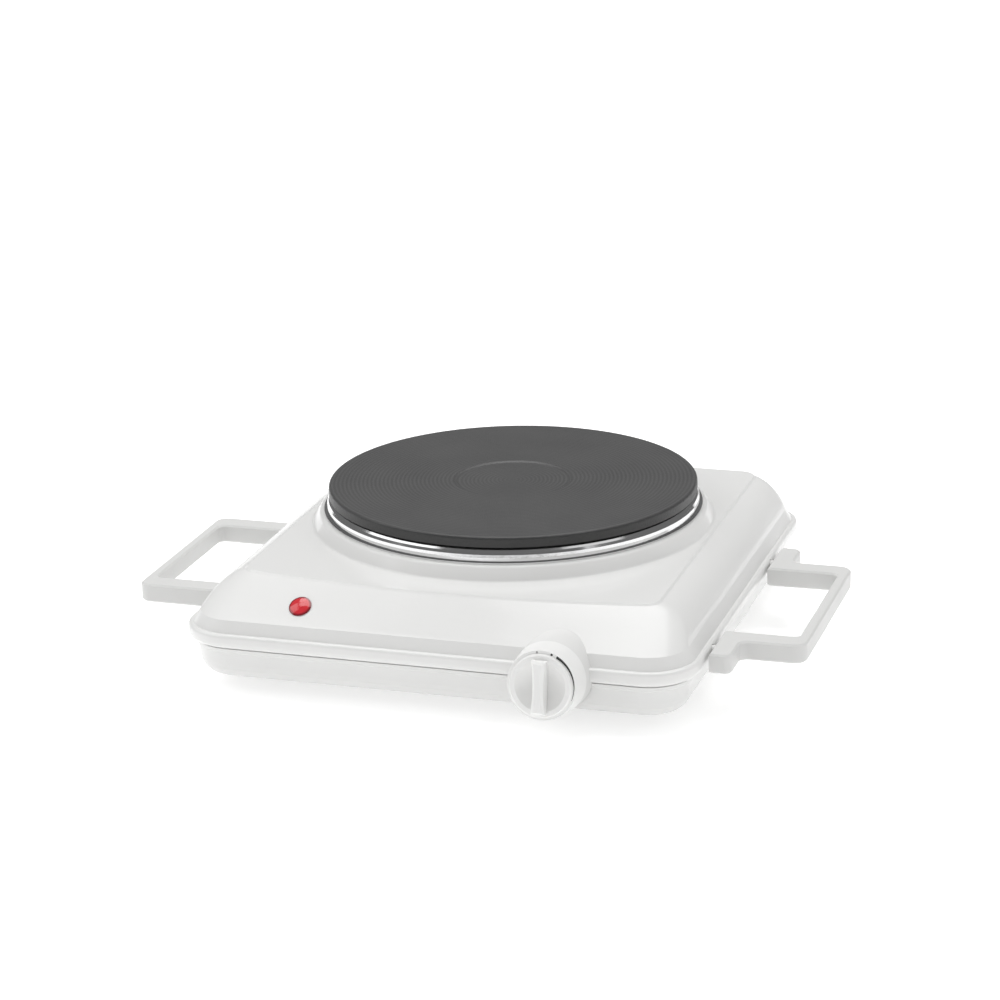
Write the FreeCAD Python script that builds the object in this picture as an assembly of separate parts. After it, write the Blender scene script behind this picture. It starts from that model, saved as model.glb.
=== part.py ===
import FreeCAD, Part
import os
from math import acos, atan, cos, degrees, radians, sin, sqrt, tan

# Single electric hot plate: enamelled sheet-steel body, cast-iron plate, two side handles,
# thermostat knob at the front right and a red pilot lamp at the front left.
# Millimetres, X to the right, Y to the back, Z up from the table.

Vector = FreeCAD.Vector
Placement = FreeCAD.Placement
Rotation = FreeCAD.Rotation
UP = Vector(0, 0, 1)
ALONG_X = Vector(1, 0, 0)
ALONG_Y = Vector(0, 1, 0)

# Sheet-steel body
sheet = 1.0
foot_height = 6.0
body_width = 257.0
body_depth = 258.0
body_corner = 25.5
slip = 0.05
loose = 0.3
least_bow = 0.01
sink = 0.05
round_steps = 5

# Base tray
tray_height = 18.1
tray_inset = 4.5
tray_draft = 0.08
tray_edge_radius = 8.5
tray_lip = 6.0
tray_bead = 0.9
tray_bead_height = 2.6
vent_length = 30.0
vent_width = 4.0
vent_pitch = 11.0
vent_count = 7

# Band at the foot of the cover, curled in under itself
band_height = 7.5
band_curl = 3.5
band_round = 1.8

# Skirt, shoulders and sloped control strip of the cover
skirt_inset = 2.7
skirt_height = 5.7
edge_inset = 5.8
shoulder_height = 15.2
shoulder_radius = 26.0
shoulder_start = 16.0
crease_half_width = 105.5
crease_front = -94.5
crease_back = 117.0
crease_corner = 9.0
strip_bow = 10.0
panel_step = 1.0

# Round seat for the plate
plate_y = 16.6
seat_height = 7.0
seat_radius = 98.5
seat_slope = 60.0
seat_top_round = 2.5
seat_foot_round = 1.8
opening_radius = 87.5

# Cast-iron plate and its spill ring
plate_radius = 94.0
plate_rim_height = 5.2
plate_rim_round = 1.4
plate_neck_radius = 84.5
plate_wall = 6.0
plate_roof = 7.4
plate_boss_radius = 24.0
plate_depth = 15.4
recess_radius = 30.0
recess_depth = 0.7
ring_height = 7.7
ring_sheet = 0.7
ring_foot_radius = 96.6
ring_roll_radius = 95.2
ring_roll = 4.6

# Heating coil, its insulating mass and the cover under them
coil_radius = 2.2
coil_first = 32.0
coil_pitch = 10.0
coil_half_turns = 8
dish_sheet = 0.6
terminal_bar_width = 14.0
terminal_bar_height = 7.0
terminal_bar_overhang = 5.0
pin_radius = 1.4
pin_length = 15.5

# Stud, bracket, washer and nut that pull the plate down on its seat
stud_radius = 4.0
stud_length = 30.0
stud_grip = 7.0
bracket_sheet = 2.0
bracket_width = 22.0
bracket_drop = 13.5
bracket_hook = 6.0
washer_radius = 9.0
washer_height = 1.6
nut_across = 13.0
nut_height = 6.5

# Cover posts, feet and their screws
post_x = 88.0
post_front = -70.0
post_back = 94.0
post_radius = 4.5
foot_radius = 9.5
foot_tip_radius = 8.0
foot_counterbore = 3.0
foot_screw_radius = 2.0
foot_screw_reach = 14.0
screw_head_ratio = 1.85
screw_head_height = 2.2

# Side handles
handle_reach = 172.0
handle_height = 9.6
handle_level = 27.5
handle_front = -77.1
handle_rear = 38.6
left_handle_front = -71.5
left_handle_rear = 37.0
handle_arm = 12.0
handle_grip = 5.4
handle_tab = 10.6
handle_tab_run = 21.0
handle_gap = 2.0
handle_round = 0.9
handle_boss_radius = 3.1
handle_screw_radius = 1.7
handle_screw_length = 13.0

# Knob, its axis and the collar round it
knob_x = 63.6
knob_level = 26.6
knob_tilt = 6.5
knob_stand = 26.0
knob_foot = 11.0
knob_rear_radius = 18.0
knob_shoulder_radius = 16.6
knob_shoulder = 2.0
knob_front_radius = 15.1
knob_bevel = 0.7
knob_wall = 2.0
knob_ring = 2.2
knob_dish = 4.6
knob_bar_length = 25.2
knob_bar_width = 7.0
knob_bar_waist = 5.0
knob_bar_proud = 4.6
knob_hub_radius = 5.6
clip_sheet = 0.5
collar_front_radius = 17.3
collar_rear_radius = 20.5
collar_bevel = 0.5
collar_wall = 2.4
collar_web = 2.4
collar_gap = 0.6
collar_screw_offset = 11.5
collar_boss_radius = 3.1
collar_screw_radius = 1.5
notch_radius = 15.4

# Thermostat on its bracket behind the front wall
spindle_radius = 3.0
spindle_flat = 1.7
spindle_tail = 5.0
spindle_collar = 4.3
chassis_sheet = 1.5
chassis_half_width = 15.5
chassis_foot = 20.0
chassis_behind_wall = 13.0
chassis_screw_radius = 2.0
frame_sheet = 1.2
frame_half_height = 7.0
bush_radius = 5.0
bush_flange_radius = 6.6
bush_flange = 2.0
bush_nut_across = 14.0
bush_nut_height = 3.0
stack_offset = 28.0
ceramic_radius = 6.0
ceramic_height = 4.0
rivet_radius = 1.9
rivet_head = 1.0
blade_sheet = 0.5
blade_width = 6.0
blade_reach = 36.0
bimetal_sheet = 0.9
contact_radius = 1.8
contact_height = 1.6
tab_sheet = 0.8
tab_length = 12.0

# Pilot lamp in the control strip
lamp_x = -67.5
lamp_rise = 0.44
lens_radius = 6.2
lens_dome = 1.6
lens_stem_radius = 4.7
lens_stem_length = 15.0
lens_wall = 1.2
lamp_clip_radius = 8.5
lamp_clip_sheet = 0.6
bulb_radius = 2.7
bulb_length = 10.0

# Cord gland and mains terminals at the back
gland_x = -60.0
gland_level = 18.4
gland_flange_radius = 5.4
gland_neck_radius = 4.5
gland_bore_radius = 3.3
gland_flange = 2.6
gland_nut = 3.0
block_poles = 3
block_pole_pitch = 11.0
block_depth = 18.0
block_height = 14.0
block_wall_gap = 24.0
block_bore_radius = 2.2
block_screw_radius = 1.6
block_fixing_radius = 1.5
earth_x = -22.0
earth_y = 96.0
earth_screw_radius = 2.0
lug_sheet = 0.8
lug_radius = 4.5
wire_radius = 1.2
wire_level = 11.0

# Heights above the table
z_tray = foot_height
z_floor = z_tray + sheet
z_seam = z_tray + tray_height
z_lip = z_seam + tray_lip
z_band = z_seam + band_height
z_edge = z_band + skirt_height
z_margin = z_edge + shoulder_height
z_panel = z_margin + panel_step
z_seat = z_panel + seat_height
z_rim = z_seat + ring_height
z_plate = z_rim + plate_rim_height
z_plate_foot = z_plate - plate_depth
z_dish = z_plate_foot - dish_sheet
z_bracket = z_seat - sheet - bracket_drop

# Lengths along the knob's axis, counted outwards from the front wall of the tray
wall_front = -body_depth / 2 + tray_inset
s_collar = knob_foot - collar_gap
s_knob_web = knob_stand - knob_dish - knob_wall
s_spindle_tip = s_knob_web + knob_wall * 0.4
s_chassis = -chassis_behind_wall
s_frame = s_chassis - chassis_sheet
s_bush = s_frame - frame_sheet
s_spindle_collar = s_bush - bush_flange - loose


def outline(half_width, front, back, corner, z, bow=0.0):
    """Closed plan outline with round corners; its front side may bow forwards."""
    cx = half_width - corner
    if bow > least_bow:
        bow_radius = (half_width ** 2 + bow ** 2) / (2 * bow)
        bow_y = front - bow + bow_radius
        cy = bow_y - sqrt((bow_radius - corner) ** 2 - cx ** 2)
        grow = bow_radius / (bow_radius - corner)
        tx = cx * grow
        ty = bow_y + (cy - bow_y) * grow
    else:
        cy = front + corner
        tx = cx
        ty = front
    lean = Vector(tx - cx + corner, ty - cy, 0).normalize() * corner
    back_lean = corner * sqrt(0.5)
    by = back - corner

    def point(x, y):
        return Vector(x, y, z)

    def side_arc(sign):
        return Part.Arc(point(sign * tx, ty), point(sign * (cx + lean.x), cy + lean.y),
                        point(sign * half_width, cy))

    def back_arc(sign):
        return Part.Arc(point(sign * half_width, by), point(sign * (cx + back_lean), by + back_lean),
                        point(sign * cx, back))

    if bow > least_bow:
        front_side = Part.Arc(point(-tx, ty), point(0, front - bow), point(tx, ty))
    else:
        front_side = Part.LineSegment(point(-tx, ty), point(tx, ty))
    curves = [front_side, side_arc(1), Part.LineSegment(point(half_width, cy), point(half_width, by)),
              back_arc(1), Part.LineSegment(point(cx, back), point(-cx, back)),
              back_arc(-1), Part.LineSegment(point(-half_width, by), point(-half_width, cy)),
              side_arc(-1)]
    return Part.Wire(Part.__sortEdges__([curve.toShape() for curve in curves]))


def body_outline(inset, z):
    """The body's plan, drawn in by an inset all round."""
    return outline(body_width / 2 - inset, inset - body_depth / 2, body_depth / 2 - inset,
                   body_corner - inset, z)


def prism(wire, height):
    return Part.Face(wire).extrude(UP * height)


def level_edges(shape, z):
    """Edges that lie flat at one height."""
    return [edge for edge in shape.Edges
            if abs(edge.BoundBox.ZMin - z) < 0.01 and abs(edge.BoundBox.ZMax - z) < 0.01]


def box(x0, x1, y0, y1, z0, z1):
    return Part.makeBox(x1 - x0, y1 - y0, z1 - z0, Vector(x0, y0, z0))


def rod(radius, z0, z1, x=0.0, y=0.0):
    return Part.makeCylinder(radius, z1 - z0, Vector(x, y, z0))


def tube(outer, inner, z0, z1, x=0.0, y=0.0):
    return rod(outer, z0, z1, x, y).cut(rod(inner, z0, z1, x, y))


def hexagon(across, z0, z1, bore, x=0.0, y=0.0):
    """Hexagonal nut with a plain bore."""
    corners = [Vector(x + across / sqrt(3) * cos(radians(60 * k)),
                      y + across / sqrt(3) * sin(radians(60 * k)), z0) for k in range(7)]
    return prism(Part.makePolygon(corners), z1 - z0).cut(rod(bore, z0, z1, x, y))


def screw(radius, length, x, y, z, direction=UP):
    """Pan-head screw: the head sits before the point, the shank runs along the direction."""
    seat = Vector(x, y, z)
    head_radius = radius * screw_head_ratio
    rim = screw_head_height * 0.6
    head = Part.makeCylinder(head_radius, rim, seat - direction * rim, direction)
    crown = Part.makeCone(radius, head_radius, screw_head_height - rim,
                          seat - direction * screw_head_height, direction)
    return head.fuse([crown, Part.makeCylinder(radius, length, seat, direction)])


def revolved(points, x=0.0, y=0.0):
    """Solid of revolution about a vertical axis from (radius, height) corners."""
    wire = Part.makePolygon([Vector(x + r, y, z) for r, z in points + points[:1]])
    return Part.Face(wire).revolve(Vector(x, y, 0), UP, 360)


def arc_points(r, z, radius, start, end):
    """Corners along an arc about (r, z), the angles counted from the outward direction."""
    angles = [radians(start + (end - start) * k / round_steps) for k in range(round_steps + 1)]
    return [(r + radius * cos(angle), z + radius * sin(angle)) for angle in angles]


def on_knob_axis(shape):
    """Places a shape drawn along +Z on the tilted axis of the knob, local Y pointing up."""
    placed = shape.copy()
    placed.Placement = Placement(Vector(knob_x, wall_front, knob_level),
                                 Rotation(ALONG_X, 90 - knob_tilt)).multiply(shape.Placement)
    return placed


# Top cover

def shoulder_end():
    """Steepest angle of the side shoulder, where it meets the skirt."""
    return degrees(acos(cos(radians(shoulder_start)) - shoulder_height / shoulder_radius))


def shoulder_half_width(angle):
    return crease_half_width + shoulder_radius * (sin(radians(angle)) - sin(radians(shoulder_start)))


def shoulder_drop(angle):
    return shoulder_radius * (cos(radians(shoulder_start)) - cos(radians(angle)))


def edge_front():
    return edge_inset - body_depth / 2


def edge_back():
    return body_depth / 2 - edge_inset


def shoulder_section(angle, skin):
    """Plan section of the shoulders, drawn in and lowered by the skin for the inside."""
    drop = shoulder_drop(angle)
    share = drop / shoulder_height
    spread = (sin(radians(angle)) - sin(radians(shoulder_start))) / (
        sin(radians(shoulder_end())) - sin(radians(shoulder_start)))
    side_in = skin * tan(radians(angle) / 2)
    strip_in = skin * tan(atan(shoulder_height / (crease_front - edge_front())) / 2)
    edge_corner = body_corner - edge_inset
    return outline(shoulder_half_width(angle) - side_in,
                   crease_front + (edge_front() - crease_front) * share + strip_in,
                   crease_back + (edge_back() - crease_back) * spread - side_in,
                   crease_corner + (edge_corner - crease_corner) * spread - side_in,
                   z_margin - drop - skin, strip_bow * (1 - share))


def skirt_section(skin):
    """Foot of the skirt, where it stands on the band."""
    inset = skirt_inset + skin * tan(radians(shoulder_end()) / 2)
    return body_outline(inset, z_band - skin)


def panel_section(skin):
    """Outline of the raised panel, one step further in than the crease."""
    inset = panel_step + skin * tan(radians(shoulder_start) / 2)
    return outline(crease_half_width - inset, crease_front + inset, crease_back - inset,
                   crease_corner - inset, z_panel - skin, strip_bow)


def rounded_foot(radius):
    """Inset and rise of each step of a rounded lower edge, from its foot to its wall."""
    return [(radius - x, radius + z) for x, z in arc_points(0, 0, radius, -90, 0)]


def band_solid(skin):
    """Band round the foot of the cover with a rolled lower edge and a rounded top."""
    foot = z_seam + skin
    sections = [body_outline(skin + inset, foot + rise) for inset, rise in rounded_foot(band_curl - skin)]
    if skin == 0:
        crown = [body_outline(inset, z_band - rise) for inset, rise in rounded_foot(band_round)]
        sections += crown[::-1]
    else:
        sections.append(body_outline(skin, z_band - skin))
    return Part.makeLoft(sections, True, True)


def seat_form(skin):
    """Raised round seat with a rounded top and a flared foot, trimmed flat where it meets the back."""
    flank = radians(seat_slope)
    top = z_seat - skin
    foot = z_panel - skin - sink
    low = z_edge
    top_radius = seat_radius - skin * tan(flank / 2)
    foot_radius_here = top_radius + (top - foot) / tan(flank)
    top_round = seat_top_round - skin
    foot_round = seat_foot_round + skin
    top_run = top_round * tan(flank / 2)
    foot_run = foot_round * tan(flank / 2)

    flare = foot_radius_here + foot_run
    crown = top_radius - top_run
    corners = [(0, low), (flare, low)]
    corners += arc_points(flare, foot + foot_round, foot_round, -90, -90 - seat_slope)
    corners += arc_points(crown, top - top_round, top_round, 90 - seat_slope, 90)
    seat = revolved(corners + [(0, top)], 0, plate_y)
    return seat.cut(behind_seat(skin))


def behind_seat(skin):
    """Space behind the leaning plane from the back crease to the seat's top edge."""
    low = Vector(0, crease_back - skin, z_margin - skin)
    high = Vector(0, plate_y + seat_radius - skin - sheet / 2, z_seat - skin)
    lean = (low.y - high.y) / (high.z - low.z)

    def point(y, z):
        return Vector(-body_width, y, z)

    y_low = low.y + lean * (low.z - z_tray)
    y_high = high.y - lean * (z_plate - high.z)
    corners = [point(y_low, z_tray), point(y_high, z_plate), point(body_depth, z_plate),
               point(body_depth, z_tray), point(y_low, z_tray)]
    return Part.Face(Part.makePolygon(corners)).extrude(ALONG_X * body_width * 2)


def cover_form(skin):
    """Pressed form of the cover as one filled solid; the skin gives its inside."""
    steps = 4
    span = shoulder_end() - shoulder_start
    sections = [shoulder_section(shoulder_start + span * (1 - k / steps), skin)
                for k in range(steps + 1)]
    shoulders = Part.makeLoft(sections, True, False)
    skirt = Part.makeLoft([skirt_section(skin), sections[0]], True, True)
    panel = Part.makeLoft([sections[-1], panel_section(skin)], True, True)
    return skirt.fuse([shoulders, panel, seat_form(skin)]).removeSplitter()


def cover_outside():
    return cover_form(0).fuse(band_solid(0))


def cover_inside():
    mouth = prism(body_outline(band_curl, z_seam - sheet), band_curl + sheet)
    return cover_form(sheet).fuse([band_solid(sheet), mouth])


def strip_point(x, rise):
    """Point on the control strip; rise runs from 0 at the front edge to 1 at the crease."""
    drop = shoulder_height * (1 - rise)
    angle = degrees(acos(cos(radians(shoulder_start)) - drop / shoulder_radius))
    half_width = shoulder_half_width(angle)
    front = edge_front() + (crease_front - edge_front()) * rise
    bow = strip_bow * rise
    bow_radius = (half_width ** 2 + bow ** 2) / (2 * bow)
    return Vector(x, front - bow + bow_radius - sqrt(bow_radius ** 2 - x ** 2), z_margin - drop)


def lamp_placement():
    """Centre of the lamp on the strip, with local Z standing out of the strip."""
    step = 0.01
    across = strip_point(lamp_x + 1, lamp_rise) - strip_point(lamp_x - 1, lamp_rise)
    uphill = strip_point(lamp_x, lamp_rise + step) - strip_point(lamp_x, lamp_rise - step)
    return Placement(strip_point(lamp_x, lamp_rise), Rotation(UP, across.cross(uphill)))


def handle_ends(side):
    """Front and rear of a handle and the run of its tabs; the left one has plain arms."""
    if side > 0:
        return handle_front, handle_rear, handle_tab_run
    return left_handle_front, left_handle_rear, 0.0


def handle_boss_places(side):
    """Y of the two bosses of a handle, in the middle of its roots."""
    front, rear, tab_run = handle_ends(side)
    half_root = (tab_run + handle_arm) / 2
    return [front + handle_arm - half_root, rear - handle_arm + half_root]


def side_bores(radius, z):
    """Holes through both side walls at the handles' bosses."""
    return [Part.makeCylinder(radius, body_width, Vector(0, y, z), ALONG_X * side)
            for side in (-1, 1) for y in handle_boss_places(side)]


def top_cover(outside):
    cover = outside.cut(cover_inside())
    cover = cover.cut(rod(opening_radius, z_margin - seat_height, z_plate, 0, plate_y))
    cover = cover.cut(on_knob_axis(rod(notch_radius, -body_corner, knob_stand)))
    lamp_hole = rod(lens_stem_radius + loose, -lens_stem_length, lens_dome)
    lamp_hole.Placement = lamp_placement()
    cover = cover.cut(lamp_hole)
    cover = cover.cut(side_bores(handle_boss_radius + loose, handle_level))
    return cover


# Base tray

def tray_section(skin, z):
    return body_outline(tray_inset + skin + tray_draft * (z_seam - z), z)


def tray_form(skin, top):
    """Drafted tub with a rounded lower edge."""
    foot = z_tray + skin
    sections = [tray_section(skin + inset, foot + rise)
                for inset, rise in rounded_foot(tray_edge_radius - skin)]
    if skin == 0:
        low = z_seam - tray_bead - tray_bead_height
        steps = [(0, low), (tray_bead, low + tray_bead),
                 (tray_bead, z_seam - tray_bead), (0, z_seam - tray_bead / 2)]
        sections += [tray_section(-bead, z) for bead, z in steps]
    return Part.makeLoft(sections + [tray_section(skin, top)], True, True)


def foot_places():
    return [(x, y) for y in (post_front, post_back) for x in (-post_x, post_x)]


def chassis_screw_places():
    y = wall_front + chassis_behind_wall + chassis_foot - chassis_screw_radius * 3
    offset = chassis_half_width - chassis_screw_radius * 2.5
    return [(knob_x - offset, y), (knob_x + offset, y)]


def block_centre():
    return Vector(gland_x, body_depth / 2 - tray_inset - block_wall_gap - block_depth / 2, z_floor)


def block_fixing_places():
    centre = block_centre()
    offset = block_pole_pitch / 2
    return [(centre.x - offset, centre.y), (centre.x + offset, centre.y)]


def slot(length, width, x, y, z0, z1):
    """Round-ended slot along Y."""
    half = (length - width) / 2
    ends = [rod(width / 2, z0, z1, x, y - half), rod(width / 2, z0, z1, x, y + half)]
    return box(x - width / 2, x + width / 2, y - half, y + half, z0, z1).fuse(ends)


def base_tray(outside):
    tray = outside.cut(tray_form(sheet, z_lip + sheet))
    holes = [rod(foot_screw_radius + loose, 0, z_floor + sheet, x, y) for x, y in foot_places()]
    holes += [rod(chassis_screw_radius + loose, 0, z_floor + sheet, x, y)
              for x, y in chassis_screw_places()]
    holes += [rod(block_fixing_radius + loose, 0, z_floor + sheet, x, y)
              for x, y in block_fixing_places()]
    holes.append(rod(earth_screw_radius + loose, 0, z_floor + sheet, earth_x, earth_y))
    for y in (plate_y - vent_length, plate_y + vent_length):
        for k in range(vent_count):
            x = (k - (vent_count - 1) / 2) * vent_pitch
            holes.append(slot(vent_length, vent_width, x, y, 0, z_floor + sheet))
    holes += side_bores(handle_screw_radius + loose, handle_level)
    holes.append(Part.makeCylinder(gland_neck_radius + slip, 4 * tray_inset, Vector(
        gland_x, body_depth / 2 - 4 * tray_inset, gland_level), ALONG_Y))
    land = rear_wall() + tray_draft * gland_flange_radius
    holes.append(along_y(gland_flange_radius + loose, land, land + tray_inset, gland_x, gland_level))
    holes.append(on_knob_axis(rod(notch_radius, -body_corner, knob_stand)))
    return tray.cut(holes)


# Posts, feet and screws

def cover_posts():
    height = z_panel - sheet
    hole_top = z_floor + foot_screw_reach + loose
    posts = [rod(post_radius, z_floor, height, x, y).cut(
        rod(foot_screw_radius + slip, z_floor, hole_top, x, y)) for x, y in foot_places()]
    return Part.makeCompound(posts)


def rubber_foot(x, y):
    body = revolved([(0, 0), (foot_tip_radius - sheet, 0), (foot_tip_radius, sheet),
                     (foot_radius, foot_height), (0, foot_height)], x, y)
    bore = rod(foot_screw_radius * screw_head_ratio + loose, 0, foot_counterbore, x, y)
    return body.cut(bore).cut(rod(foot_screw_radius + slip, 0, foot_height, x, y))


def foot_screws():
    length = z_floor + foot_screw_reach - foot_counterbore
    return Part.makeCompound([screw(foot_screw_radius, length, x, y, foot_counterbore)
                              for x, y in foot_places()])


# Handles

def tray_wall_at(z):
    """Half-width of the tray's outside at a height."""
    return body_width / 2 - tray_inset - tray_draft * (z_seam - z)


def handle(side):
    """U-shaped side handle, the right one with a tab at each arm's root; side is 1 right or -1 left."""
    front, rear, tab_run = handle_ends(side)
    inner = body_width / 2 + handle_gap
    tab = inner + handle_tab
    grip = handle_reach - handle_grip
    gap_front = front + handle_arm
    gap_rear = rear - handle_arm
    front_root = [(inner, front)]
    rear_root = [(inner, rear)]
    if tab_run:
        front_root = [(inner, front - tab_run), (tab, front - tab_run), (tab, front)]
        rear_root = [(tab, rear), (tab, rear + tab_run), (inner, rear + tab_run)]
    corners = front_root + [(handle_reach, front), (handle_reach, rear)] + rear_root
    corners += [(inner, gap_rear), (grip, gap_rear), (grip, gap_front), (inner, gap_front)]
    foot = handle_level - handle_height / 2
    points = [Vector(side * x, y, foot) for x, y in corners + corners[:1]]
    body = prism(Part.makePolygon(points), handle_height)

    def uprights(x):
        return [edge for edge in body.Edges if edge.BoundBox.ZLength > handle_height / 2
                and abs(edge.BoundBox.Center.x - side * x) < 0.01]

    def root_uprights(y_places):
        return [edge for edge in uprights(tab)
                if min(abs(edge.BoundBox.Center.y - y) for y in y_places) < 0.01]

    outer_round = handle_grip + handle_round
    inner_round = handle_grip * 0.6
    body = body.makeFillet(outer_round, uprights(handle_reach))
    body = body.makeFillet(inner_round, uprights(grip))
    if tab_run:
        body = body.makeFillet(handle_tab * 0.4, root_uprights([front, rear]))
        body = body.makeFillet(handle_tab * 0.35, uprights(tab))
    body = body.makeChamfer(handle_round, level_edges(body, foot) + level_edges(body, foot + handle_height))
    return body.fuse(handle_bosses(side)).cut(handle_screw_bores(side))


def handle_bosses(side):
    """Spacers from the tabs through the band to the tray's wall."""
    wall = tray_wall_at(handle_level + handle_boss_radius) + slip
    reach = body_width / 2 + handle_gap + handle_round - wall
    return [Part.makeCylinder(handle_boss_radius, reach, Vector(side * wall, y, handle_level),
                              ALONG_X * side)
            for y in handle_boss_places(side)]


def handle_screw_bores(side):
    wall = tray_wall_at(handle_level) - sheet
    return [Part.makeCylinder(handle_screw_radius + slip, handle_screw_length + loose,
                              Vector(side * wall, y, handle_level), ALONG_X * side)
            for y in handle_boss_places(side)]


def handle_screws():
    wall = tray_wall_at(handle_level - handle_screw_radius * screw_head_ratio) - sheet - slip
    return Part.makeCompound([screw(handle_screw_radius, handle_screw_length, side * wall, y, handle_level,
                                    ALONG_X * side) for side in (-1, 1) for y in handle_boss_places(side)])


# Cast-iron plate and what is under it

def cast_iron_plate():
    recess_slope = recess_depth * 2
    rim = arc_points(plate_radius - plate_rim_round, z_plate - plate_rim_round, plate_rim_round, 90, 0)
    plate = revolved([(0, z_plate - recess_depth), (recess_radius - recess_slope, z_plate - recess_depth),
                      (recess_radius, z_plate)] + rim + [
                      (plate_radius, z_rim),
                      (plate_neck_radius, z_rim), (plate_neck_radius, z_plate_foot),
                      (plate_neck_radius - plate_wall, z_plate_foot),
                      (plate_neck_radius - plate_wall, z_plate - plate_roof),
                      (plate_boss_radius, z_plate - plate_roof), (plate_boss_radius, z_plate_foot),
                      (0, z_plate_foot)], 0, plate_y)
    return plate.cut(rod(stud_radius + slip, z_plate_foot, z_plate_foot + stud_grip + loose, 0, plate_y))


def spill_ring():
    """Bright rolled ring: a foot on the seat, a convex roll and a flange under the plate's rim."""
    top = z_rim - loose
    centre = ring_roll_radius - ring_roll
    bore = plate_neck_radius + loose
    foot_top = z_seat + ring_sheet
    outside = arc_points(centre, top - ring_roll, ring_roll, 90, 0)
    inside = arc_points(centre, top - ring_roll, ring_roll - ring_sheet, 0, 90)
    corners = [(bore, top)] + outside + [(ring_roll_radius, foot_top), (ring_foot_radius, foot_top),
                                         (ring_foot_radius, z_seat), (ring_roll_radius - ring_sheet, z_seat)]
    return revolved(corners + inside + [(bore, top - ring_sheet)], 0, plate_y)


def coil_level():
    return (z_plate_foot + z_plate - plate_roof) / 2


def coil_outer_end():
    """X of the coil's outer end; the inner end is at coil_first on the same side."""
    return coil_first + coil_pitch / 2 * coil_half_turns


def coil_form(radius):
    """Flat ribbon spiral of half turns whose centres change sides."""
    half_turns = []
    for k in range(coil_half_turns):
        turn = coil_first + coil_pitch / 2 * k
        centre = Vector(coil_pitch / 2 * (k % 2), plate_y, coil_level())
        start = centre + ALONG_X * (turn if k % 2 == 0 else -turn)
        section = Part.makePlane(2 * radius, 2 * radius, start + Vector(radius, 0, -radius), ALONG_Y * -1, UP)
        half_turns.append(section.revolve(centre, UP, 180))
    return half_turns[0].fuse(half_turns[1:]).removeSplitter()


def heating_coil():
    return coil_form(coil_radius)


def pin_places():
    return [coil_first, coil_outer_end()]


def insulation_mass():
    mass = tube(plate_neck_radius - plate_wall - slip, plate_boss_radius + slip,
                z_plate_foot, z_plate - plate_roof, 0, plate_y)
    pins = [rod(pin_radius + slip, z_plate_foot, coil_level(), x, plate_y) for x in pin_places()]
    return mass.cut([coil_form(coil_radius + slip)] + pins)


def plate_bottom_cover():
    dish = rod(plate_neck_radius, z_dish, z_plate_foot, 0, plate_y)
    holes = [rod(pin_radius + loose, z_dish, z_plate_foot, x, plate_y) for x in pin_places()]
    return dish.cut(holes + [rod(stud_radius + loose, z_dish, z_plate_foot, 0, plate_y)])


def plate_terminal_bar():
    """Ceramic bar under the plate that holds the coil's two pins."""
    inner, outer = pin_places()
    bar = box(inner - terminal_bar_overhang, outer + terminal_bar_overhang,
              plate_y - terminal_bar_width / 2, plate_y + terminal_bar_width / 2,
              z_dish - terminal_bar_height, z_dish)
    uprights = [edge for edge in bar.Edges if edge.BoundBox.ZLength > terminal_bar_height / 2]
    bar = bar.makeFillet(terminal_bar_width / 4, uprights)
    return bar.cut([rod(pin_radius + slip, z_dish - terminal_bar_height, z_dish, x, plate_y)
                    for x in pin_places()])


def plate_pins():
    top = coil_level() - coil_radius
    return Part.makeCompound([rod(pin_radius, top - pin_length, top, x, plate_y) for x in pin_places()])


def plate_stud():
    top = z_plate_foot + stud_grip
    return rod(stud_radius, top - stud_length - stud_grip, top, 0, plate_y)


def clamp_bracket():
    """Strip bent up at both ends, hooked under the edge of the cover's opening; runs along Y."""
    half = bracket_width / 2
    leg = opening_radius + slip
    top = z_seat - sheet
    strip = box(-half, half, -leg - bracket_sheet, leg + bracket_sheet, z_bracket, z_bracket + bracket_sheet)
    for side in (-1, 1):
        y0, y1 = sorted([side * leg, side * (leg + bracket_sheet)])
        h0, h1 = sorted([side * leg, side * (leg + bracket_sheet + bracket_hook)])
        strip = strip.fuse([box(-half, half, y0, y1, z_bracket, top),
                            box(-half, half, h0, h1, top - bracket_sheet, top)])
    strip = strip.removeSplitter()
    strip.translate(Vector(0, plate_y, 0))
    return strip.cut(rod(stud_radius + loose, z_bracket, z_bracket + bracket_sheet, 0, plate_y))


def stud_washer():
    return tube(washer_radius, stud_radius + loose, z_bracket - washer_height, z_bracket, 0, plate_y)


def stud_nut():
    top = z_bracket - washer_height
    return hexagon(nut_across, top - nut_height, top, stud_radius + slip, 0, plate_y)


# Knob, collar and thermostat, drawn along the knob's axis

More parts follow.
